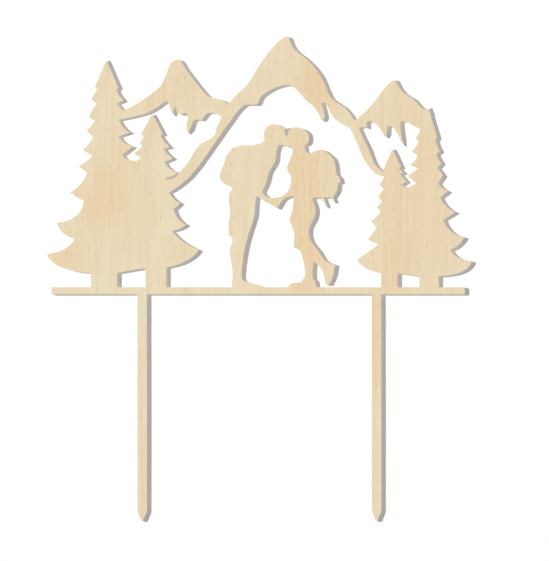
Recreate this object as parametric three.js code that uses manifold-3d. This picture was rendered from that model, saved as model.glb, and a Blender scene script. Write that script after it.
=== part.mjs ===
// Cake topper: two hikers under three peaks, between two pairs of pines, on a rail with two stakes.
// It is laser cut from one sheet of three-ply birch plywood, so every ply has the same outline.
// Millimetres, +Z up. The sheet stands in the XZ plane and its face looks along -Y.
// The origin is the middle of the rail's underside, where it sits on the cake.
import * as THREE from "three";
import { mergeVertices } from "three/addons/utils/BufferGeometryUtils.js";
import Module from "manifold-3d";

// The plywood, from its face to its back.
const FACE_PLY = 0.8;
const CORE_PLY = 1.2;
const GLUE_LINE = 0.1;

// The rail lies on the cake, and the stakes go down into it.
const RAIL_LENGTH = 146;
const RAIL_HEIGHT = 2.5;
const STAKE_SPACING = 82.8;
const STAKES_OFF_CENTRE = 0.45;
const STAKE_WIDTH = 3.35;
const STAKE_LENGTH = 80;
const STAKE_POINT = 3.4;
const STAKE_TIP_WIDTH = 0.5;

// The places of the motifs: each pine's axis, each peak's summit and each hiker's axis.
const LEFT_TALL_PINE_X = -53.6;
const LEFT_SMALL_PINE_X = -37.4;
const RIGHT_SMALL_PINE_X = 47.5;
const RIGHT_TALL_PINE_X = 60.1;
const LEFT_SUMMIT_X = -28.6;
const LEFT_SUMMIT_HEIGHT = 80.4;
const MAIN_SUMMIT_X = 9.9;
const MAIN_SUMMIT_HEIGHT = 88.6;
const RIGHT_SUMMIT_X = 48.2;
const RIGHT_SUMMIT_HEIGHT = 73.2;
const LEFT_HIKER_X = -2.8;
const RIGHT_HIKER_X = 16.3;

// The left and main peaks meet at their shoulders. The right ridge meets the main peak lower down.
const SHOULDER_HEIGHT = 64.4;
const RIGHT_SHOULDER_DROP = 7.4;
const RIGHT_SHOULDER_HEIGHT = SHOULDER_HEIGHT - RIGHT_SHOULDER_DROP;

// How deep the feet of the motifs, and the roots of the stakes, reach into the rail.
const FOOT_IN_RAIL = RAIL_HEIGHT / 2;

// A curve is cut into straight stretches that leave it by no more than this.
const CURVE_TOLERANCE = 0.08;
const STEPS_PER_KNOT = 8;

// A cutter goes this far past the sheet's face and back, so that it leaves no skin there.
const CUTTER_OVERSHOOT = 0.5;

// A pine's tip is its height above the rail. Each bough has its tip's reach from the axis and its
// height, and then the same for the notch below it. The last notch is the top of the trunk. A long
// bough also has a droop along its top and a belly under it, from 0, straight, to 1, a full quarter bend.
const LEFT_TALL_PINE = {
  tip: 80.3,
  left: [
    [-4.1, 70.6, -3.2, 70.1],
    [-5.3, 66.4, -3.6, 64.8],
    [-6.4, 60.1, -4, 58.8],
    [-6.9, 55.2, -4.7, 53],
    [-8.4, 48.6, -5.1, 46.4, 0.25, 0],
    [-9.9, 42.8, -6.8, 40.4, 0.25, 0],
    [-12.9, 33.5, -8, 30.5, 0.4, 0.1],
    [-17.5, 22.8, -11.3, 17.1, 0.8, 0.56],
    [-21, 11.7, -5.5, 5, 0.6, 0.74],
  ],
  right: [
    [4.3, 70.4, 3.5, 69.6],
    [6.1, 66, 3.7, 64.9, 0.2, 0],
    [6.3, 61.9, 4.4, 58.9],
    [8.4, 54.7, 4.3, 53.3, 0.35, 0],
    [9.5, 49.8, 5.6, 46.8, 0.45, 0],
    [11.9, 44.6, 15.4, 30.8, 0.9, 0],
    [15.4, 7, 3.9, 5.1],
  ],
};
const LEFT_SMALL_PINE = {
  tip: 61.2,
  left: [
    [-3.9, 54.2, -3.1, 53.1],
    [-4.4, 50.8, -3.5, 49.7],
    [-6.4, 47.2, -4, 45.7],
    [-8.6, 42.2, -11.4, 30.8],
    [-11.4, 6.8, -2.4, 6.6],
  ],
  right: [
    [3.8, 54.1, 2.8, 53.5],
    [6.2, 49.5, 3.9, 48.9, 0.1, 0],
    [7.4, 45.5, 4.2, 44.2, 0.2, 0],
    [9, 40.6, 5.7, 33.6, 0.45, 0],
    [9.8, 29.8, 7.5, 27.6, 0.3, 0.2],
    [12, 22.1, 6.9, 19.8, 0.45, 0.3],
    [16.4, 13.2, 5, 7, 0.25, 0.5],
  ],
};
const RIGHT_SMALL_PINE = {
  tip: 48.9,
  left: [
    [-2.9, 42.4, -2.9, 39],
    [-4.6, 36.1, -3.1, 34.8],
    [-5.2, 31.8, -3.7, 30.4],
    [-5.7, 28.3, -4.2, 26.9, 0.2, 0],
    [-7.6, 23.4, -5.8, 21.3, 0.3, 0],
    [-8.8, 17, -5, 15.1, 0.3, 0.15],
    [-12.4, 9.7, -4.1, 5, 0, 0.55],
  ],
  right: [
    [3, 42.4, 2.3, 41.9],
    [3.9, 40.5, 2.7, 39.9],
    [4.9, 37.4, 3, 36.1],
    [6.9, 34.2, 9, 23.8],
    [9, 5.4, 1.8, 5],
  ],
};
const RIGHT_TALL_PINE = {
  tip: 63.6,
  left: [
    [-4.5, 52.3, -3.3, 51.6, 0.2, 0],
    [-5.9, 47.9, -3.7, 46.5, 0.25, 0],
    [-6.5, 43.2, -3.5, 42, 0.35, 0],
    [-7.2, 39.3, -4.2, 36.7],
    [-9.2, 34.2, -11.7, 23.8],
    [-12.4, 5.2, -3.1, 3.9],
  ],
  right: [
    [3.2, 52.8, 2.5, 51.9],
    [4.2, 48, 2.8, 47.1, 0.2, 0],
    [4.6, 43.9, 3.3, 42.2, 0.2, 0],
    [5.3, 39.6, 3.4, 36.8, 0.15, 0],
    [7, 33.9, 4.2, 31.8, 0.35, 0],
    [9.6, 26.5, 5.4, 23.9, 0.4, 0],
    [12.8, 17.7, 7.8, 13.2, 0.6, 0.4],
    [15.4, 9.2, 3.7, 3.9, 0.6, 0.8],
  ],
};

// The gap under a bough of the left small pine, above the foot of the main peak.
const BOUGH_GAP = [
  [[8.8, 40.5], [8.2, 39.9], [6.6, 39.1], [4.7, 38.6]],
  [[4.7, 38.6], [4.9, 37.8]],
  [[4.9, 37.8], [6.8, 38.2], [8.6, 39.3], [9.6, 40.9]],
  [[9.6, 40.9], [8.8, 40.5]],
];

// A peak is drawn from its summit, clockwise. Strokes meet at the sharp corners of the outline.
// Its crown is the drawn height of the summit above the shoulders.
const LEFT_CROWN = 16;
const LEFT_PEAK = [
  [[-26.5, -20.6], [-19.3, -18.1], [-15.8, -16.5], [-11.7, -13.9], [-7.8, -11.1], [-5.9, -9.3], [-4.8, -7.5],
    [-3.4, -3.9], [-1.9, -0.9], [0, 0], [0.9, -0.1], [3, -3.2], [6.7, -8], [10.2, -12.3], [11.3, -13.2],
    [14.5, -13.8], [15.9, -14.2], [18.1, -15.8]],
  [[18.1, -15.8], [18.4, -20.6]],
  [[18.4, -20.6], [15.5, -19.9]],
  [[15.5, -19.9], [14.1, -19.2], [12.4, -18.8], [10.6, -18.9], [9.9, -19.6], [9.4, -20.4], [8.6, -21.3],
    [6.4, -21.1], [5.7, -21.7], [4.7, -24.4], [3.5, -25.9]],
  [[3.5, -25.9], [3.4, -23.8], [3.7, -21.5], [3.7, -19.9], [3.4, -18.8]],
  [[3.4, -18.8], [2.2, -19], [1.4, -19.6], [0.4, -19], [-0.2, -17.9], [-0.6, -16]],
  [[-0.6, -16], [-1, -17.1], [-1.7, -19.6]],
  [[-1.7, -19.6], [-2.4, -17.7], [-3.1, -15.3], [-3.6, -14.3]],
  [[-3.6, -14.3], [-6, -16.1], [-10.1, -18.6], [-12, -19.3], [-14.7, -20], [-20.3, -21.2], [-26.5, -22.5]],
  [[-26.5, -22.5], [-26.5, -20.6]],
];
const MAIN_CROWN = 24.2;
const MAIN_PEAK = [
  [[-20.9, -24.2], [-19.6, -23.1], [-17.5, -20.5], [-14.8, -18.2], [-12.4, -15.2], [-10.6, -12],
    [-7.4, -7.2], [-4.8, -4], [-2, -1.2], [0, 0], [0.8, -0.2], [1.6, -2.2], [2.3, -3.6], [3.7, -5.2],
    [6.9, -7.7], [9.7, -10.5], [12.2, -13.8], [13.9, -17.6], [15.7, -21.4], [17.1, -22.7], [20.6, -25],
    [22.6, -27.5], [24, -29.5]],
  [[24, -29.5], [25.6, -32.2]],
  [[25.6, -32.2], [27.3, -36], [29.4, -40.3], [30.1, -42.5], [31.8, -45.7], [34.6, -47.7], [39.5, -49]],
  [[39.5, -49], [39.5, -50.4]],
  [[39.5, -50.4], [34.6, -49.4], [32.1, -48.7], [29.3, -46], [26.8, -42], [25.3, -38.3], [23.8, -35],
    [22.6, -32.5]],
  [[22.6, -32.5], [19.2, -30.6], [16.6, -28.4], [14.9, -25.1], [13.9, -23.4]],
  [[13.9, -23.4], [12.5, -23.4]],
  [[12.5, -23.4], [13.1, -26], [13.6, -28.1], [13.3, -29.5]],
  [[13.3, -29.5], [12.6, -29.8]],
  [[12.6, -29.8], [11.3, -27], [9.4, -24.5], [6.9, -22.4], [4.5, -19.6], [1.4, -17.4], [-2.1, -17.6],
    [-6, -19.2], [-9, -21.4], [-9.5, -22.3], [-9.9, -23.5], [-10.6, -24.1]],
  [[-10.6, -24.1], [-14.7, -24.1]],
  [[-14.7, -24.1], [-17.2, -26.5], [-20, -30.4], [-23.2, -35], [-27.4, -40.7], [-31, -45.9],
    [-34.7, -50.2], [-38.1, -53], [-41.5, -55.1], [-49.5, -58.5]],
  [[-49.5, -58.5], [-49.5, -54.5]],
  [[-49.5, -54.5], [-40.6, -50.2], [-36.8, -47.1], [-34.7, -44.6], [-33.1, -42], [-30.5, -38.2],
    [-27.2, -36.4], [-25.9, -35.5], [-25.1, -34.7], [-24.7, -32.7], [-23.9, -31.2], [-22.8, -28.3],
    [-20.9, -24.2]],
];
const RIGHT_CROWN = 16.2;
const RIGHT_PEAK = [
  [[-17.1, -16.2], [-14.1, -14.3], [-10.9, -11.7], [-7.4, -8], [-3.5, -2.9], [-1.2, -0.6], [0, 0],
    [0.4, 0], [0.9, -1.2], [3, -4.3], [6.7, -6.7], [9.2, -9.5], [10.7, -10.4], [12.7, -11.3]],
  [[12.7, -11.3], [12.6, -18]],
  [[12.6, -18], [12.2, -30]],
  [[12.2, -30], [9.1, -17.4]],
  [[9.1, -17.4], [6.5, -16.1], [3.6, -14.6]],
  [[3.6, -14.6], [2, -14.6]],
  [[2, -14.6], [2.1, -16.9], [2.7, -21.1], [2.8, -23]],
  [[2.8, -23], [1.7, -20.2], [0.1, -17.5], [-0.8, -16.5], [-2.4, -16.2]],
  [[-2.4, -16.2], [-2.6, -16.9], [-2.7, -19], [-3.3, -20.2]],
  [[-3.3, -20.2], [-4.6, -17.8], [-6.3, -15.8], [-7.5, -14.9], [-8.7, -14.5], [-9.8, -14.8]],
  [[-9.8, -14.8], [-9.9, -17]],
  [[-9.9, -17], [-10.7, -16.5], [-12.7, -16.8], [-15.7, -16.9]],
  [[-15.7, -16.9], [-17.1, -16.2]],
];

// A hiker is drawn clockwise in height above the rail: up one side, over the shoulders, down the other.
const LEFT_HIKER = [
  [[-6.6, -FOOT_IN_RAIL], [-6.2, 5.1], [-6.9, 10.4], [-7.2, 12.8], [-6.2, 16.7], [-6.7, 17.8]],
  [[-6.7, 17.8], [-7.5, 18.2]],
  [[-7.5, 18.2], [-7.6, 23.1], [-7, 25.9], [-7.5, 30.8], [-7.3, 33.3], [-6.4, 34.4]],
  [[-6.4, 34.4], [-6.6, 35.3], [-8.9, 36.4], [-10.6, 38.4], [-10.6, 40], [-9, 44.3], [-8.5, 46.4],
    [-6.9, 48.2], [-6.4, 49.2]],
  [[-6.4, 49.2], [-3.5, 50.1], [-0.2, 50.1], [2.1, 50.4], [4.2, 51.2], [5.2, 52.2]],
  [[5.2, 52.2], [7.1, 53.5]],
  [[7.1, 53.5], [10.6, 52]],
  [[10.6, 52], [9.6, 49], [9.3, 48.2], [8.8, 44.4], [6.7, 40.8], [5.8, 37.3], [4.2, 33.7]],
  [[4.2, 33.7], [5.4, 32.3], [7.1, 31.6], [8.8, 31.6], [11, 31.9]],
  [[11, 31.9], [10.4, 29.4], [9.5, 27.8]],
  [[9.5, 27.8], [8.6, 28.5], [5.7, 30], [3.5, 31.5], [2.2, 32.3]],
  [[2.2, 32.3], [1.7, 28.5], [1.6, 25.7], [0.3, 21.3], [-1.6, 15], [-2.3, 10.8], [-2.9, 6.5], [-3, 3.6],
    [-2.5, 2.4]],
  [[-2.5, 2.4], [0, 1.5], [2.6, 0.9], [5.1, 0]],
  [[5.1, 0], [5.1, -FOOT_IN_RAIL]],
  [[5.1, -FOOT_IN_RAIL], [-6.6, -FOOT_IN_RAIL]],
];
const RIGHT_HIKER = [
  [[-5.8, -FOOT_IN_RAIL], [-5.8, 0]],
  [[-5.8, 0], [-4.5, 1.3], [-1.2, 1.9], [0.2, 4], [0.3, 5.4], [-0.4, 9.8], [-1.5, 12.9], [-3.5, 14]],
  [[-3.5, 14], [-3.7, 15.1], [-3.4, 18.5], [-4.2, 21.3], [-5.2, 24], [-4.4, 26.3], [-3.8, 29.8],
    [-3.9, 32.4]],
  [[-3.9, 32.4], [-7.1, 31.3], [-8.2, 30], [-9.5, 27.8]],
  [[-9.5, 27.8], [-10.6, 29.4], [-11, 31.6]],
  [[-11, 31.6], [-8.8, 31.7], [-6.1, 33.5], [-5.1, 35.3], [-4.7, 37.2], [-4.6, 38.8], [-5.8, 41.1],
    [-6.1, 42.3], [-5.1, 44.8], [-4.1, 47.8], [-4.4, 49.9]],
  [[-4.4, 49.9], [-4.2, 52]],
  [[-4.2, 52], [-0.4, 52]],
  [[-0.4, 52], [0.1, 49.4], [0.5, 48], [2.7, 47]],
  [[2.7, 47], [3, 47.7], [6.3, 48.6], [7.3, 48.1], [9, 46.8], [10.4, 45.3], [11.4, 39.8]],
  [[11.4, 39.8], [12.3, 38.9], [12.9, 37.1]],
  [[12.9, 37.1], [11.9, 36.8]],
  [[11.9, 36.8], [11.6, 34.1], [10.1, 31.8]],
  [[10.1, 31.8], [2.8, 31.6]],
  [[2.8, 31.6], [4, 27.1], [3.3, 23.9], [1.8, 21.1], [2, 17.1], [5.1, 12.8], [7.1, 9.7], [10.9, 7.9]],
  [[10.9, 7.9], [10.2, 4.1], [8.8, 0.9]],
  [[8.8, 0.9], [7.6, 0.9]],
  [[7.6, 0.9], [6.7, 5.2], [5.1, 7.8], [3.4, 9]],
  [[3.4, 9], [3, 6.1], [3.2, 2.9], [3.9, 2.2]],
  [[3.9, 2.2], [4.1, 0]],
  [[4.1, 0], [4.1, -FOOT_IN_RAIL]],
  [[4.1, -FOOT_IN_RAIL], [-5.8, -FOOT_IN_RAIL]],
];

// Two loose straps hang from the right hiker's pack, each from the middle of its root to its end.
const PACK_STRAPS = [
  [[6.2, 32.3], [7.8, 28.3]],
  [[9.6, 32.5], [10.4, 30]],
];
const STRAP_WIDTH = 0.6;
const STRAP_END_WIDTH = 0.25;

// A head in profile on plain drawing-book proportions, in head heights: forward of its middle, and up.
// The chin leads the brow a little, so that the two faces meet from the nose to the chin.
const FACE = [
  [[0.36, 0.3], [0.41, 0.12], [0.385, 0.04]],
  [[0.385, 0.04], [0.52, -0.13]],
  [[0.52, -0.13], [0.43, -0.18]],
  [[0.43, -0.18], [0.46, -0.235], [0.425, -0.265], [0.445, -0.305], [0.41, -0.345], [0.43, -0.43],
    [0.36, -0.5]],
  [[0.36, -0.5], [0.1, -0.42]],
];
const HEAD_TILT = 0.17;
const CAP = [
  [[0.1, -0.42], [-0.56, -0.34]],
  [[-0.56, -0.34], [-0.62, -0.04], [-0.62, 0.26], [-0.4, 0.57], [-0.02, 0.64], [0.24, 0.48]],
  [[0.24, 0.48], [0.36, 0.37], [0.6, 0.36]],
  [[0.6, 0.36], [0.58, 0.29]],
  [[0.58, 0.29], [0.36, 0.3]],
];
const HAIR = [
  [[0.1, -0.42], [-0.36, -0.34]],
  [[-0.36, -0.34], [-0.62, -0.2], [-0.68, 0.08], [-0.58, 0.34], [-0.3, 0.52], [0.05, 0.54], [0.28, 0.46],
    [0.36, 0.3]],
];
const LEFT_HEAD = { x: 9.6, height: 53.1, size: 7.3, facing: 1, crown: CAP };
const RIGHT_HEAD = { x: -3.1, height: 52.7, size: 7, facing: -1, crown: HAIR };

const wasm = await Module();
wasm.setup();

// Keeps the fewest of a curve's points that stay within the tolerance of it, without its first point.
function straighten(points) {
  const first = points[0];
  const last = points[points.length - 1];
  const chord = last.clone().sub(first);
  let farthest = 0;
  let widest = CURVE_TOLERANCE;
  points.slice(1, -1).forEach((point, index) => {
    const off = Math.abs(chord.cross(point.clone().sub(first))) / chord.length();
    if (off > widest) {
      widest = off;
      farthest = index + 1;
    }
  });
  if (farthest === 0) {
    return [last];
  }
  return [...straighten(points.slice(0, farthest + 1)), ...straighten(points.slice(farthest))];
}

// A closed outline from strokes that follow one another: two points are a line, more are a smooth curve.
function drawStrokes(strokes) {
  return strokes.flatMap((stroke) => {
    const knots = stroke.map(([x, z]) => new THREE.Vector3(x, z, 0));
    const curve = new THREE.CatmullRomCurve3(knots, false, "centripetal");
    const fine = curve.getPoints((knots.length - 1) * STEPS_PER_KNOT);
    return straighten(fine.map((point) => new THREE.Vector2(point.x, point.y)));
  });
}

// A peak whose crown is stretched to reach its summit, while all below the shoulders keeps its place.
function drawPeak(peak, crown, shoulderHeight, summitHeight) {
  const stretch = (summitHeight - shoulderHeight) / crown;
  const raised = ([x, z]) => {
    const aboveShoulder = crown + z;
    return [x, shoulderHeight + (aboveShoulder > 0 ? aboveShoulder * stretch : aboveShoulder)];
  };
  return drawStrokes(peak.map((stroke) => stroke.map(raised)));
}

// One edge of a bough: its middle is pulled towards the given corner.
function boughEdge(from, to, corner, bow) {
  const pull = from.clone().lerp(to, 0.5).lerp(corner, bow);
  const curve = new THREE.QuadraticBezierCurve(from, pull, to);
  return straighten(curve.getPoints(STEPS_PER_KNOT));
}

// One side of a pine, from its tip down to the foot of its trunk.
function pineSide(tip, boughs) {
  const points = [];
  let from = new THREE.Vector2(0, tip);
  for (const [tipX, tipZ, notchX, notchZ, droop = 0, belly = 0] of boughs) {
    const boughTip = new THREE.Vector2(tipX, tipZ);
    const notch = new THREE.Vector2(notchX, notchZ);
    points.push(...boughEdge(from, boughTip, new THREE.Vector2(from.x, boughTip.y), droop));
    points.push(...boughEdge(boughTip, notch, new THREE.Vector2(boughTip.x, notch.y), belly));
    from = notch;
  }
  points.push(new THREE.Vector2(from.x, -FOOT_IN_RAIL));
  return points;
}

function drawPine(pine) {
  const right = pineSide(pine.tip, pine.right);
  const left = pineSide(pine.tip, pine.left);
  return [new THREE.Vector2(0, pine.tip), ...right, ...left.reverse()];
}

function drawHead(head) {
  const turned = (stroke) => stroke.map(([forward, up]) => {
    const u = forward * Math.cos(HEAD_TILT) - up * Math.sin(HEAD_TILT);
    const v = forward * Math.sin(HEAD_TILT) + up * Math.cos(HEAD_TILT);
    return [head.x + head.facing * head.size * u, head.height + head.size * v];
  });
  return drawStrokes([...FACE.map(turned), ...head.crown.map(turned)]);
}

function drawStrap([root, end]) {
  const half = new THREE.Vector2(STRAP_WIDTH / 2, 0);
  const halfEnd = new THREE.Vector2(STRAP_END_WIDTH / 2, 0);
  const top = new THREE.Vector2(...root);
  const bottom = new THREE.Vector2(...end);
  return [
    top.clone().sub(half),
    top.clone().add(half),
    bottom.clone().add(halfEnd),
    bottom.clone().sub(halfEnd),
  ];
}

function drawRail() {
  const half = RAIL_LENGTH / 2;
  return drawStrokes([
    [[-half, 0], [half, 0]],
    [[half, 0], [half, RAIL_HEIGHT]],
    [[half, RAIL_HEIGHT], [-half, RAIL_HEIGHT]],
    [[-half, RAIL_HEIGHT], [-half, 0]],
  ]);
}

function drawStake() {
  const half = STAKE_WIDTH / 2;
  const halfTip = STAKE_TIP_WIDTH / 2;
  const shoulder = STAKE_POINT - STAKE_LENGTH;
  return drawStrokes([
    [[-half, FOOT_IN_RAIL], [-half, shoulder]],
    [[-half, shoulder], [-halfTip, -STAKE_LENGTH]],
    [[-halfTip, -STAKE_LENGTH], [halfTip, -STAKE_LENGTH]],
    [[halfTip, -STAKE_LENGTH], [half, shoulder]],
    [[half, shoulder], [half, FOOT_IN_RAIL]],
    [[half, FOOT_IN_RAIL], [-half, FOOT_IN_RAIL]],
  ]);
}

// A plate of an outline, moved to its place on the sheet. It is one millimetre thick, and a cutter is
// thicker by its overshoot on both sides.
function plate(outline, x, z, overshoot = 0) {
  const shape = new THREE.Shape(outline.map((point) => new THREE.Vector2(point.x + x, point.y + z)));
  const extruded = new THREE.ExtrudeGeometry(shape, { depth: 1 + 2 * overshoot, bevelEnabled: false });
  extruded.translate(0, 0, -overshoot);
  extruded.rotateX(Math.PI / 2);
  extruded.deleteAttribute("normal");
  extruded.deleteAttribute("uv");
  const merged = mergeVertices(extruded);
  const vertProperties = new Float32Array(merged.attributes.position.array);
  const triVerts = new Uint32Array(merged.index.array);
  return new wasm.Manifold(new wasm.Mesh({ numProp: 3, vertProperties, triVerts }));
}

// The whole silhouette as one plate: everything above the rail stands on its top edge.
function cutSheet() {
  const standing = [
    [drawPine(LEFT_TALL_PINE), LEFT_TALL_PINE_X],
    [drawPine(LEFT_SMALL_PINE), LEFT_SMALL_PINE_X],
    [drawPine(RIGHT_SMALL_PINE), RIGHT_SMALL_PINE_X],
    [drawPine(RIGHT_TALL_PINE), RIGHT_TALL_PINE_X],
    [drawPeak(LEFT_PEAK, LEFT_CROWN, SHOULDER_HEIGHT, LEFT_SUMMIT_HEIGHT), LEFT_SUMMIT_X],
    [drawPeak(MAIN_PEAK, MAIN_CROWN, SHOULDER_HEIGHT, MAIN_SUMMIT_HEIGHT), MAIN_SUMMIT_X],
    [drawPeak(RIGHT_PEAK, RIGHT_CROWN, RIGHT_SHOULDER_HEIGHT, RIGHT_SUMMIT_HEIGHT), RIGHT_SUMMIT_X],
    [drawStrokes(LEFT_HIKER), LEFT_HIKER_X],
    [drawStrokes(RIGHT_HIKER), RIGHT_HIKER_X],
    [drawHead(LEFT_HEAD), LEFT_HIKER_X],
    [drawHead(RIGHT_HEAD), RIGHT_HIKER_X],
    ...PACK_STRAPS.map((strap) => [drawStrap(strap), RIGHT_HIKER_X]),
  ];
  let sheet = plate(drawRail(), 0, 0);
  for (const side of [-1, 1]) {
    sheet = sheet.add(plate(drawStake(), STAKES_OFF_CENTRE + side * STAKE_SPACING / 2, 0));
  }
  for (const [outline, x] of standing) {
    sheet = sheet.add(plate(outline, x, RAIL_HEIGHT));
  }
  const gap = plate(drawStrokes(BOUGH_GAP), LEFT_SMALL_PINE_X, RAIL_HEIGHT, CUTTER_OVERSHOOT);
  return sheet.subtract(gap).getMesh();
}

// One ply: the sheet's outline at the ply's thickness, with its back face at the given depth.
function ply(name, sheet, thickness, back, look) {
  const geometry = new THREE.BufferGeometry();
  geometry.setAttribute("position", new THREE.BufferAttribute(new Float32Array(sheet.vertProperties), 3));
  geometry.setIndex(new THREE.BufferAttribute(new Uint32Array(sheet.triVerts), 1));
  geometry.scale(1, thickness, 1);
  geometry.computeVertexNormals();
  const mesh = new THREE.Mesh(geometry, new THREE.MeshStandardMaterial(look));
  mesh.name = name;
  mesh.position.y = back;
  return mesh;
}

const birchFace = { color: 0xe7d6b7, roughness: 0.6, metalness: 0 };
const birchCore = { color: 0xcfae7e, roughness: 0.75, metalness: 0 };
const glue = { color: 0x7a4f2c, roughness: 0.5, metalness: 0 };

const sheet = cutSheet();
const coreBack = CORE_PLY / 2;
const rearGlueBack = coreBack + GLUE_LINE;
const topper = new THREE.Group();
topper.add(ply("front_veneer", sheet, FACE_PLY, -coreBack - GLUE_LINE, birchFace));
topper.add(ply("front_glue_line", sheet, GLUE_LINE, -coreBack, glue));
topper.add(ply("core_veneer", sheet, CORE_PLY, coreBack, birchCore));
topper.add(ply("rear_glue_line", sheet, GLUE_LINE, rearGlueBack, glue));
topper.add(ply("rear_veneer", sheet, FACE_PLY, rearGlueBack + FACE_PLY, birchFace));

export default topper;
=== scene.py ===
import math

import bmesh
import bpy
from mathutils import Matrix, Vector
from mathutils.geometry import interpolate_bezier


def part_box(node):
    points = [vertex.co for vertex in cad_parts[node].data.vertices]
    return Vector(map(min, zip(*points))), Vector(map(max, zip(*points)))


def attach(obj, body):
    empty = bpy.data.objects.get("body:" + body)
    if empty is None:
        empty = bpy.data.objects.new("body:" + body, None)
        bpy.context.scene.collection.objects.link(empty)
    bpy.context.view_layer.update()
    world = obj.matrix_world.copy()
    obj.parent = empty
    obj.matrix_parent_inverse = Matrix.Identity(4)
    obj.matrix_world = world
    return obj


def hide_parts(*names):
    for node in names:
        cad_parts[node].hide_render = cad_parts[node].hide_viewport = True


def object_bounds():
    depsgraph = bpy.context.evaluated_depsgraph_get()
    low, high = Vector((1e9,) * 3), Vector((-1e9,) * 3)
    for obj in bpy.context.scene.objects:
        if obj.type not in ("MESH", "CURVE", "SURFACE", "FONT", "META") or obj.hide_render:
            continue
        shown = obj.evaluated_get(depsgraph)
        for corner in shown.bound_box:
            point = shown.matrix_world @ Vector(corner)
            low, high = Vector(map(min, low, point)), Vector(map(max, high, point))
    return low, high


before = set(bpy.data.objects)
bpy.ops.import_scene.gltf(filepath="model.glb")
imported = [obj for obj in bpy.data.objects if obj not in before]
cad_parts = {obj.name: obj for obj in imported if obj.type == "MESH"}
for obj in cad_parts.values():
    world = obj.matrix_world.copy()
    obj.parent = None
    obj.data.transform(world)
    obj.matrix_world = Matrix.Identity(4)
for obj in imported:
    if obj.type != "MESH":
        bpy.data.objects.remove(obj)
cad_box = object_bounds()

# Core ply: the middle layer of the birch plywood, a peeled veneer whose grain lies across the sheet.
# It is glued between the two faces, and a laser cuts all the layers in one pass, so the ply shows
# only as a toasted band round every edge.
MM = 0.001
FACET_SAG = 0.08 * MM
SHORTEST_STRETCH = 0.02 * MM
SHARP_TURN = math.radians(40)
BEND_STEPS = 4
CREASE = math.radians(30)
# A face lies flat in the sheet where more than this share of its normal points through the thickness.
LIES_FLAT = 0.5
FIBRE_WIDTH = 0.3 * MM
FIBRE_LENGTH = 9 * MM
KERF_RIDGE = 0.28 * MM
KERF_REACH = 12 * MM
KERF_DEPTH = 0.03 * MM
SCORCH_PATCH = 5 * MM
WOOD_IOR = 1.53
CORE_EDGE_PALE = 0xC0915B
CORE_EDGE_DARK = 0x83552F


def linear(code):
    """A colour socket's value from an sRGB hex code."""
    channels = [(code >> shift & 255) / 255 for shift in (16, 8, 0)]
    return [c / 12.92 if c <= 0.04045 else ((c + 0.055) / 1.055) ** 2.4 for c in channels] + [1]


def add(tree, kind, sockets=None, **settings):
    """Adds a node with its settings. An input takes a value, a socket, or a node for its first output.

    Input 0 of a Mix node is its share, and inputs 6 and 7 are its two colours.
    """
    made = tree.nodes.new("ShaderNode" + kind)
    for name, value in settings.items():
        setattr(made, name, value)
    for socket, value in (sockets or {}).items():
        if isinstance(value, bpy.types.Node):
            value = next(output for output in value.outputs if output.enabled)
        if isinstance(value, bpy.types.NodeSocket):
            tree.links.new(value, made.inputs[socket])
        else:
            made.inputs[socket].default_value = value
    return made


def blank(name):
    """A new material with nothing in its node tree."""
    material = bpy.data.materials.new(name)
    material.use_nodes = True
    material.node_tree.nodes.clear()
    return material


def cut_line(node):
    """The closed loops that the laser follows, as points across and up the sheet."""
    bm = bmesh.new()
    bm.from_mesh(node.data)
    bmesh.ops.remove_doubles(bm, verts=bm.verts, dist=SHORTEST_STRETCH)
    bmesh.ops.delete(bm, geom=[face for face in bm.faces if face.normal.y > -LIES_FLAT], context="FACES")
    rim = dict.fromkeys(edge for edge in bm.edges if edge.is_boundary)
    loops = []
    while rim:
        edge = next(iter(rim))
        del rim[edge]
        start, corner = edge.verts
        loop = [start]
        while corner != start:
            loop.append(corner)
            edge = next(edge for edge in corner.link_edges if edge in rim)
            del rim[edge]
            corner = edge.other_vert(corner)
        loops.append([Vector((corner.co.x, corner.co.z)) for corner in loop])
    bm.free()
    return loops


def bend(loop):
    """The loop with its straight stretches bent to the curves they stand for. Sharp corners stay."""
    count = len(loop)
    chords = [loop[(i + 1) % count] - loop[i] for i in range(count)]
    turns = [math.atan2(chords[i - 1].cross(chords[i]), chords[i - 1].dot(chords[i])) for i in range(count)]
    points = []
    for i, chord in enumerate(chords):
        after = (i + 1) % count
        # An arc that leaves its chord at this angle is FACET_SAG away from it halfway.
        most = 4 * FACET_SAG / chord.length
        bends = []
        for corner, neighbour in ((i, chords[i - 1]), (after, chords[after])):
            turn = turns[corner] if abs(turns[corner]) < SHARP_TURN else 0
            share = turn * chord.length / (chord.length + neighbour.length)
            bends.append(max(-most, min(most, share)))
        leave = Matrix.Rotation(-bends[0], 2) @ chord / 3
        arrive = Matrix.Rotation(bends[1], 2) @ chord / 3
        start, end = loop[i], loop[after]
        steps = BEND_STEPS if any(bends) else 1
        points.extend(interpolate_bezier(start, start + leave, end - arrive, end, steps + 1)[:-1])
    return points


CUT_LOOPS = [bend(loop) for loop in cut_line(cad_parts["core_veneer"])]


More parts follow.
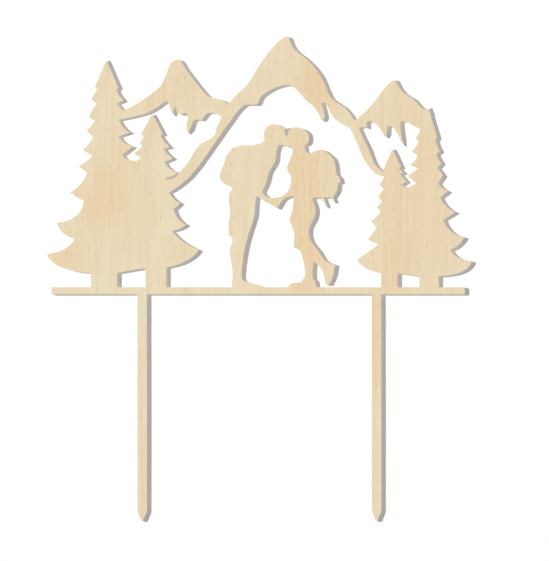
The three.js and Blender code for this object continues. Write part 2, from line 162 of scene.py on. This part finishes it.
def cut_ply(name, node, face_look, edge_look):
    """One layer of the cut sheet, in its node's place: the cut line filled, and drawn out through it."""
    low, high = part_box(node)
    bm = bmesh.new()
    for loop in CUT_LOOPS:
        rim = [bm.verts.new((point.x, low.y, point.y)) for point in loop]
        for corner, following in zip(rim, rim[1:] + rim[:1]):
            bm.edges.new((corner, following))
    bmesh.ops.triangle_fill(bm, use_beauty=True, edges=bm.edges, normal=(0, -1, 0))
    drawn = bmesh.ops.extrude_face_region(bm, geom=bm.faces)
    back = [item for item in drawn["geom"] if isinstance(item, bmesh.types.BMVert)]
    bmesh.ops.translate(bm, vec=(0, high.y - low.y, 0), verts=back)
    bmesh.ops.recalc_face_normals(bm, faces=bm.faces)
    # The walls are drawn in another order each run, so the faces are put in the order of their corners.
    bm.verts.index_update()
    ranked = sorted(bm.faces, key=lambda face: sorted(corner.index for corner in face.verts))
    for rank, face in enumerate(ranked):
        face.index = rank
        face.smooth = True
        face.material_index = 0 if abs(face.normal.y) > LIES_FLAT else 1
    bm.faces.sort()
    mesh = bpy.data.meshes.new(name)
    mesh.materials.append(face_look)
    mesh.materials.append(edge_look)
    bm.to_mesh(mesh)
    bm.free()
    mesh.set_sharp_from_angle(angle=CREASE)
    piece = bpy.data.objects.new(name, mesh)
    bpy.context.scene.collection.objects.link(piece)
    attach(piece, "root")
    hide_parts(node)


def grain(tree, across, through, up, detail=2.0, shift=0.0):
    """A noise whose patches have these sizes along the sheet's width, thickness and height."""
    spread = {
        "Vector": add(tree, "TexCoord").outputs["Object"],
        "Location": (shift, shift, shift),
        "Scale": (1 / across, 1 / through, 1 / up),
    }
    return add(tree, "TexNoise", {"Vector": add(tree, "Mapping", spread), "Scale": 1.0, "Detail": detail})


# Laser-cut birch: the beam toasts the wood brown, more in some places than in others, and leaves fine
# ridges that run straight through the sheet. The ridges are drawn twice as wide as real ones, to show.
def toasted_edge(name, fibre_size, pale, dark):
    material = blank(name)
    tree = material.node_tree
    scorch = grain(tree, SCORCH_PATCH, SCORCH_PATCH, SCORCH_PATCH, detail=3.0)
    fibre = grain(tree, *fibre_size)
    ridge = grain(tree, KERF_RIDGE, KERF_REACH, KERF_RIDGE)
    burnt = add(tree, "MapRange", {"Value": scorch, "From Min": 0.3, "From Max": 0.7})
    darker = add(tree, "MapRange", {"Value": fibre, "From Min": 0.4, "From Max": 0.7, "To Max": 0.55})
    paler = add(tree, "MapRange", {"Value": ridge, "From Min": 0.45, "From Max": 0.7, "To Max": 0.4})
    toast = add(tree, "Mix", {0: burnt, 6: linear(pale), 7: linear(dark)}, data_type="RGBA")
    streaked = add(tree, "Mix", {0: darker, 6: toast, 7: linear(dark)}, data_type="RGBA")
    ridged = add(tree, "Mix", {0: paler, 6: streaked, 7: linear(pale)}, data_type="RGBA")
    rough = add(tree, "MapRange", {"Value": burnt, "To Min": 0.7, "To Max": 0.85})
    relief = add(tree, "Bump", {"Strength": 0.7, "Distance": KERF_DEPTH, "Height": ridge})
    finish = {"Base Color": ridged, "Roughness": rough, "Normal": relief, "IOR": WOOD_IOR}
    add(tree, "OutputMaterial", {"Surface": add(tree, "BsdfPrincipled", finish)})
    return material


core_fibres = (FIBRE_LENGTH, FIBRE_WIDTH, FIBRE_WIDTH)
core_edge = toasted_edge("birch_core_laser_cut", core_fibres, CORE_EDGE_PALE, CORE_EDGE_DARK)
cut_ply("core_ply", "core_veneer", core_edge, core_edge)

# Glue films: one on each side of the core, of brown resin glue spread by roller and pressed hot.
# The laser chars the resin more than the wood, so each film shows as a thin dark line round the edge.
GLUE_PALE = 0x6B4526
GLUE_DARK = 0x3E2614
GLUE_DAB = 1.5 * MM
GLUE_IOR = 1.55
GLUE_SHINE = 0.25


# Phenolic resin, pressed and charred: dark brown, uneven, and dulled by the beam.
def pressed_glue():
    material = blank("phenolic_resin_pressed")
    tree = material.node_tree
    dab = grain(tree, GLUE_DAB, GLUE_DAB, GLUE_DAB)
    spread = add(tree, "MapRange", {"Value": dab, "From Min": 0.3, "From Max": 0.7})
    tone = add(tree, "Mix", {0: spread, 6: linear(GLUE_PALE), 7: linear(GLUE_DARK)}, data_type="RGBA")
    rough = add(tree, "MapRange", {"Value": spread, "To Min": 0.6, "To Max": 0.75})
    finish = {"Base Color": tone, "Roughness": rough, "IOR": GLUE_IOR, "Specular IOR Level": GLUE_SHINE}
    add(tree, "OutputMaterial", {"Surface": add(tree, "BsdfPrincipled", finish)})
    return material


glue = pressed_glue()
for film, node in (("front_glue_film", "front_glue_line"), ("rear_glue_film", "rear_glue_line")):
    cut_ply(film, node, glue, glue)

# Face plies: the front and back of the plywood, peeled birch veneer with its grain upright, pressed
# onto the glued core and sanded. The wood is left bare, so it is pale, matt and finely streaked.
FACE_CREAM = 0xE4D5B5
FACE_PEACH = 0xE2C8A0
FACE_LIGHT = 0xEBDFC7
FACE_TAN = 0xD7BD92
FACE_PORE = 0xBC976A
FACE_EDGE_PALE = 0xCFA56C
FACE_EDGE_DARK = 0x94653A
FACE_SHINE = 0.3
BAND_WIDTH = 2.2 * MM
BAND_LENGTH = 70 * MM
STREAK_WIDTH = 0.9 * MM
STREAK_LENGTH = 30 * MM
THREAD_WIDTH = 0.4 * MM
THREAD_LENGTH = 9 * MM
PORE_WIDTH = 0.24 * MM
PORE_LENGTH = 2.6 * MM
GRAIN_DEPTH = 0.03 * MM
DRIFT_WIDTH = 7 * MM
DRIFT_HEIGHT = 22 * MM
REAR_GRAIN_SHIFT = 40.0
# A warm patch is full up to its heart and gone past its rim, in half sizes of the patch plus the drift.
PATCH_HEART = 0.8
PATCH_RIM = 1.7
# Where each face is warmer: across, up, half width and half height in mm, and how much, up to 1.
FRONT_WARMTH = (
    (-54, 33, 13, 17, 1.0),
    (-47, 48, 8, 15, 0.7),
    (-67, 14, 10, 9, 0.9),
    (-25, 13, 9, 10, 0.3),
    (-34, 72, 16, 10, 0.6),
    (16, 32, 13, 60, 1.0),
    (21, 74, 11, 16, 1.0),
    (54, 36, 22, 62, 0.7),
    (41, -16, 6, 28, 0.9),
)
REAR_WARMTH = (
    (-58, 30, 14, 60, 0.6),
    (-12, 40, 9, 70, 0.8),
    (26, 60, 16, 30, 0.7),
    (62, 20, 12, 18, 0.9),
)


# Sanded birch veneer: cream, with warmer peach patches, soft upright bands, fine pale and tan streaks and
# short dark pores. The pores and threads are drawn about three times as wide as real ones, to show.
def sanded_birch(name, warmth, shift):
    material = blank(name)
    tree = material.node_tree
    place = add(tree, "TexCoord").outputs["Object"]
    drift = grain(tree, DRIFT_WIDTH, DRIFT_WIDTH, DRIFT_HEIGHT, shift=shift)
    warm = add(tree, "MapRange", {"Value": drift, "From Min": 0.4, "From Max": 0.75, "To Max": 0.4})
    for across, up, half_width, half_height, amount in warmth:
        reach = {
            "Vector": place,
            "Location": (-across / half_width, 0, -up / half_height),
            "Scale": (1 / half_width / MM, 0, 1 / half_height / MM),
        }
        distance = add(tree, "VectorMath", {0: add(tree, "Mapping", reach)}, operation="LENGTH")
        ragged = add(tree, "Math", {0: distance, 1: drift}, operation="ADD")
        fade = {"Value": ragged, "From Min": PATCH_RIM, "From Max": PATCH_HEART, "To Max": amount}
        warm = add(tree, "Math", {0: warm, 1: add(tree, "MapRange", fade)}, operation="MAXIMUM")
    band = grain(tree, BAND_WIDTH, BAND_WIDTH, BAND_LENGTH, detail=1.0, shift=shift)
    streak = grain(tree, STREAK_WIDTH, STREAK_WIDTH, STREAK_LENGTH, shift=shift)
    thread = grain(tree, THREAD_WIDTH, THREAD_WIDTH, THREAD_LENGTH, shift=shift)
    pore = grain(tree, PORE_WIDTH, PORE_WIDTH, PORE_LENGTH, detail=0.0, shift=shift)
    tanned = add(tree, "MapRange", {"Value": band, "From Min": 0.5, "From Max": 0.75, "To Max": 0.35})
    paled = add(tree, "MapRange", {"Value": streak, "From Min": 0.45, "From Max": 0.75, "To Max": 0.5})
    lined = add(tree, "MapRange", {"Value": thread, "From Min": 0.5, "From Max": 0.8, "To Max": 0.5})
    pitted = add(tree, "MapRange", {"Value": pore, "From Min": 0.7, "From Max": 0.82, "To Max": 0.35})
    tone = add(tree, "Mix", {0: warm, 6: linear(FACE_CREAM), 7: linear(FACE_PEACH)}, data_type="RGBA")
    tone = add(tree, "Mix", {0: tanned, 6: tone, 7: linear(FACE_TAN)}, data_type="RGBA")
    tone = add(tree, "Mix", {0: paled, 6: tone, 7: linear(FACE_LIGHT)}, data_type="RGBA")
    tone = add(tree, "Mix", {0: lined, 6: tone, 7: linear(FACE_TAN)}, data_type="RGBA")
    tone = add(tree, "Mix", {0: pitted, 6: tone, 7: linear(FACE_PORE)}, data_type="RGBA")
    sunk = add(tree, "Math", {0: thread, 1: pitted}, operation="SUBTRACT")
    relief = add(tree, "Bump", {"Strength": 0.35, "Distance": GRAIN_DEPTH, "Height": sunk})
    worn = {"Value": streak, "From Min": 0.3, "From Max": 0.7, "To Min": 0.55, "To Max": 0.7}
    rough = add(tree, "MapRange", worn)
    finish = {
        "Base Color": tone,
        "Roughness": rough,
        "Normal": relief,
        "IOR": WOOD_IOR,
        "Specular IOR Level": FACE_SHINE,
    }
    add(tree, "OutputMaterial", {"Surface": add(tree, "BsdfPrincipled", finish)})
    return material


face_fibres = (FIBRE_WIDTH, FIBRE_WIDTH, FIBRE_LENGTH)
face_edge = toasted_edge("birch_face_laser_cut", face_fibres, FACE_EDGE_PALE, FACE_EDGE_DARK)
front_face = sanded_birch("birch_front_sanded", FRONT_WARMTH, 0.0)
rear_face = sanded_birch("birch_rear_sanded", REAR_WARMTH, REAR_GRAIN_SHIFT)
cut_ply("front_face_ply", "front_veneer", front_face, face_edge)
cut_ply("rear_face_ply", "rear_veneer", rear_face, face_edge)

# Backdrop: a plain white wall close behind the sheet, so that the key lamp's shadow falls beside every
# edge. Only the camera sees it, and only from the front: it sends no light onto the sheet, and from
# behind it is clear.
BACKDROP_GAP = 2 * MM
BACKDROP_HALF_WIDTH = 0.6
BACKDROP_HEIGHT = 0.6
FLOOR_DROP = 0.6 * MM
STRAY_STOPPED = 0.75
WHITE = 0xFFFFFF
floor_z = cad_box[0].z - FLOOR_DROP
wall_y = cad_box[1].y + BACKDROP_GAP
bm = bmesh.new()
corners = (
    (-BACKDROP_HALF_WIDTH, wall_y, floor_z),
    (BACKDROP_HALF_WIDTH, wall_y, floor_z),
    (BACKDROP_HALF_WIDTH, wall_y, floor_z + BACKDROP_HEIGHT),
    (-BACKDROP_HALF_WIDTH, wall_y, floor_z + BACKDROP_HEIGHT),
)
bm.faces.new([bm.verts.new(corner) for corner in corners])
wall_mesh = bpy.data.meshes.new("backdrop")
bm.to_mesh(wall_mesh)
bm.free()
backdrop = bpy.data.objects.new("backdrop", wall_mesh)
bpy.context.scene.collection.objects.link(backdrop)
wall_paint = blank("white_wall_paint")
tree = wall_paint.node_tree
path = add(tree, "LightPath").outputs
behind = add(tree, "NewGeometry").outputs["Backfacing"]
shown = add(tree, "Math", {0: path["Is Camera Ray"], 1: behind}, operation="SUBTRACT", use_clamp=True)
# The wall stops most of the light that the lamps behind would send it by way of the sheet's back, so the
# shadow is only faintly brown.
bounced = {0: path["Is Shadow Ray"], 1: path["Diffuse Depth"]}
stray = add(tree, "Math", bounced, operation="MULTIPLY", use_clamp=True)
stopped = add(tree, "Math", {0: stray, 1: STRAY_STOPPED}, operation="MULTIPLY")
solid = add(tree, "Math", {0: shown, 1: stopped}, operation="MAXIMUM")
matt = add(tree, "BsdfDiffuse", {"Color": linear(WHITE)})
wall_look = add(tree, "MixShader", {0: solid, 1: add(tree, "BsdfTransparent"), 2: matt})
add(tree, "OutputMaterial", {"Surface": wall_look})
wall_mesh.materials.append(wall_paint)

# Floor: a plain pale card under the points of the stakes, which keeps the sheet's shadow.
# To the light it is grey, so that it throws no more onto the sheet than the room does.
FLOOR_HALF = 1.5
FLOOR_PALE = 0xF4F3F0
FLOOR_GREY = 0x5C5C5A


def seen(tree):
    """1 for a ray that shows a surface, straight, in a reflection or through glass, and 0 for light."""
    path = add(tree, "LightPath").outputs
    rays = {0: path["Is Camera Ray"], 1: path["Is Glossy Ray"]}
    unglazed = add(tree, "Math", rays, operation="MAXIMUM")
    return add(tree, "Math", {0: unglazed, 1: path["Is Transmission Ray"]}, operation="MAXIMUM")


bm = bmesh.new()
bmesh.ops.create_grid(bm, x_segments=1, y_segments=1, size=FLOOR_HALF)
bmesh.ops.translate(bm, vec=(0, 0, floor_z), verts=bm.verts)
floor_mesh = bpy.data.meshes.new("floor")
bm.to_mesh(floor_mesh)
bm.free()
floor = bpy.data.objects.new("floor", floor_mesh)
bpy.context.scene.collection.objects.link(floor)
card = blank("pale_card")
tree = card.node_tree
tones = {0: seen(tree), 6: linear(FLOOR_GREY), 7: linear(FLOOR_PALE)}
card_tone = add(tree, "Mix", tones, data_type="RGBA")
add(tree, "OutputMaterial", {"Surface": add(tree, "BsdfDiffuse", {"Color": card_tone})})
floor_mesh.materials.append(card)

# Light: a key lamp from the upper left that throws the close shadow, a fill from the camera's side, a
# soft one from above for the floor and the upper edges, and two soft ones behind for the back and the
# sides. Each is given as the share of white that it lends to the sheet, to the floor or to the back.
SHADOW_RIGHT = 1.65 * MM
SHADOW_DOWN = 0.5 * MM
KEY_SHARE = 0.64
FILL_SHARE = 0.28
TOP_SHARE = 0.45
BACK_SHARE = 0.42
AMBIENT = 0.09
KEY_SPREAD = math.radians(2)
FILL_SPREAD = 0
SOFT_SPREAD = math.radians(15)
FRONT = (0, -1, 0)
BACK = (0, 1, 0)
TOP = (0, 0, 1)
TOP_WAY = (0.1, 0, -1)
BACK_LEFT_WAY = (1, -1, -0.5)
BACK_RIGHT_WAY = (-1, -1, -0.5)
key_way = (SHADOW_RIGHT, wall_y - cad_box[0].y, -SHADOW_DOWN)


def lamp(name, way, share, facing, spread):
    """A far lamp that shines along a way, and lends its share of white to a surface with this normal."""
    light = bpy.data.lights.new(name, "SUN")
    way = Vector(way).normalized()
    # At a strength of pi and square on, a white surface renders white.
    light.energy = math.pi * share / -way.dot(Vector(facing))
    light.angle = spread
    stand = bpy.data.objects.new(name, light)
    stand.rotation_euler = way.to_track_quat("-Z", "Y").to_euler()
    bpy.context.scene.collection.objects.link(stand)


lamp("key_lamp", key_way, KEY_SHARE, FRONT, KEY_SPREAD)
lamp("fill_lamp", BACK, FILL_SHARE, FRONT, FILL_SPREAD)
lamp("top_lamp", TOP_WAY, TOP_SHARE, TOP, SOFT_SPREAD)
lamp("back_left_lamp", BACK_LEFT_WAY, BACK_SHARE, BACK, SOFT_SPREAD)
lamp("back_right_lamp", BACK_RIGHT_WAY, BACK_SHARE, BACK, SOFT_SPREAD)
world = bpy.data.worlds.new("white_studio")
bpy.context.scene.world = world
world.use_nodes = True
tree = world.node_tree
tree.nodes.clear()
level = add(tree, "MapRange", {"Value": seen(tree), "To Min": AMBIENT, "To Max": 1.0})
sky = add(tree, "Background", {"Color": linear(WHITE), "Strength": level})
add(tree, "OutputWorld", {"Surface": sky})

# Camera: square on to the sheet, and without perspective, as from far away.
# Its picture is a little taller than the sheet, which stands left of the middle.
PICTURE_HEIGHT = 198.2 * MM
PICTURE_MIDDLE_X = 5.83 * MM
PICTURE_MIDDLE_Z = 4.88 * MM
CAMERA_DISTANCE = 1.0
view = bpy.data.cameras.new("camera")
view.type = "ORTHO"
view.sensor_fit = "VERTICAL"
view.ortho_scale = PICTURE_HEIGHT
camera = bpy.data.objects.new("camera", view)
camera.location = (PICTURE_MIDDLE_X, -CAMERA_DISTANCE, PICTURE_MIDDLE_Z)
camera.rotation_euler = (math.pi / 2, 0, 0)
bpy.context.scene.collection.objects.link(camera)
bpy.context.scene.camera = camera
bpy.context.scene.view_settings.view_transform = "Standard"
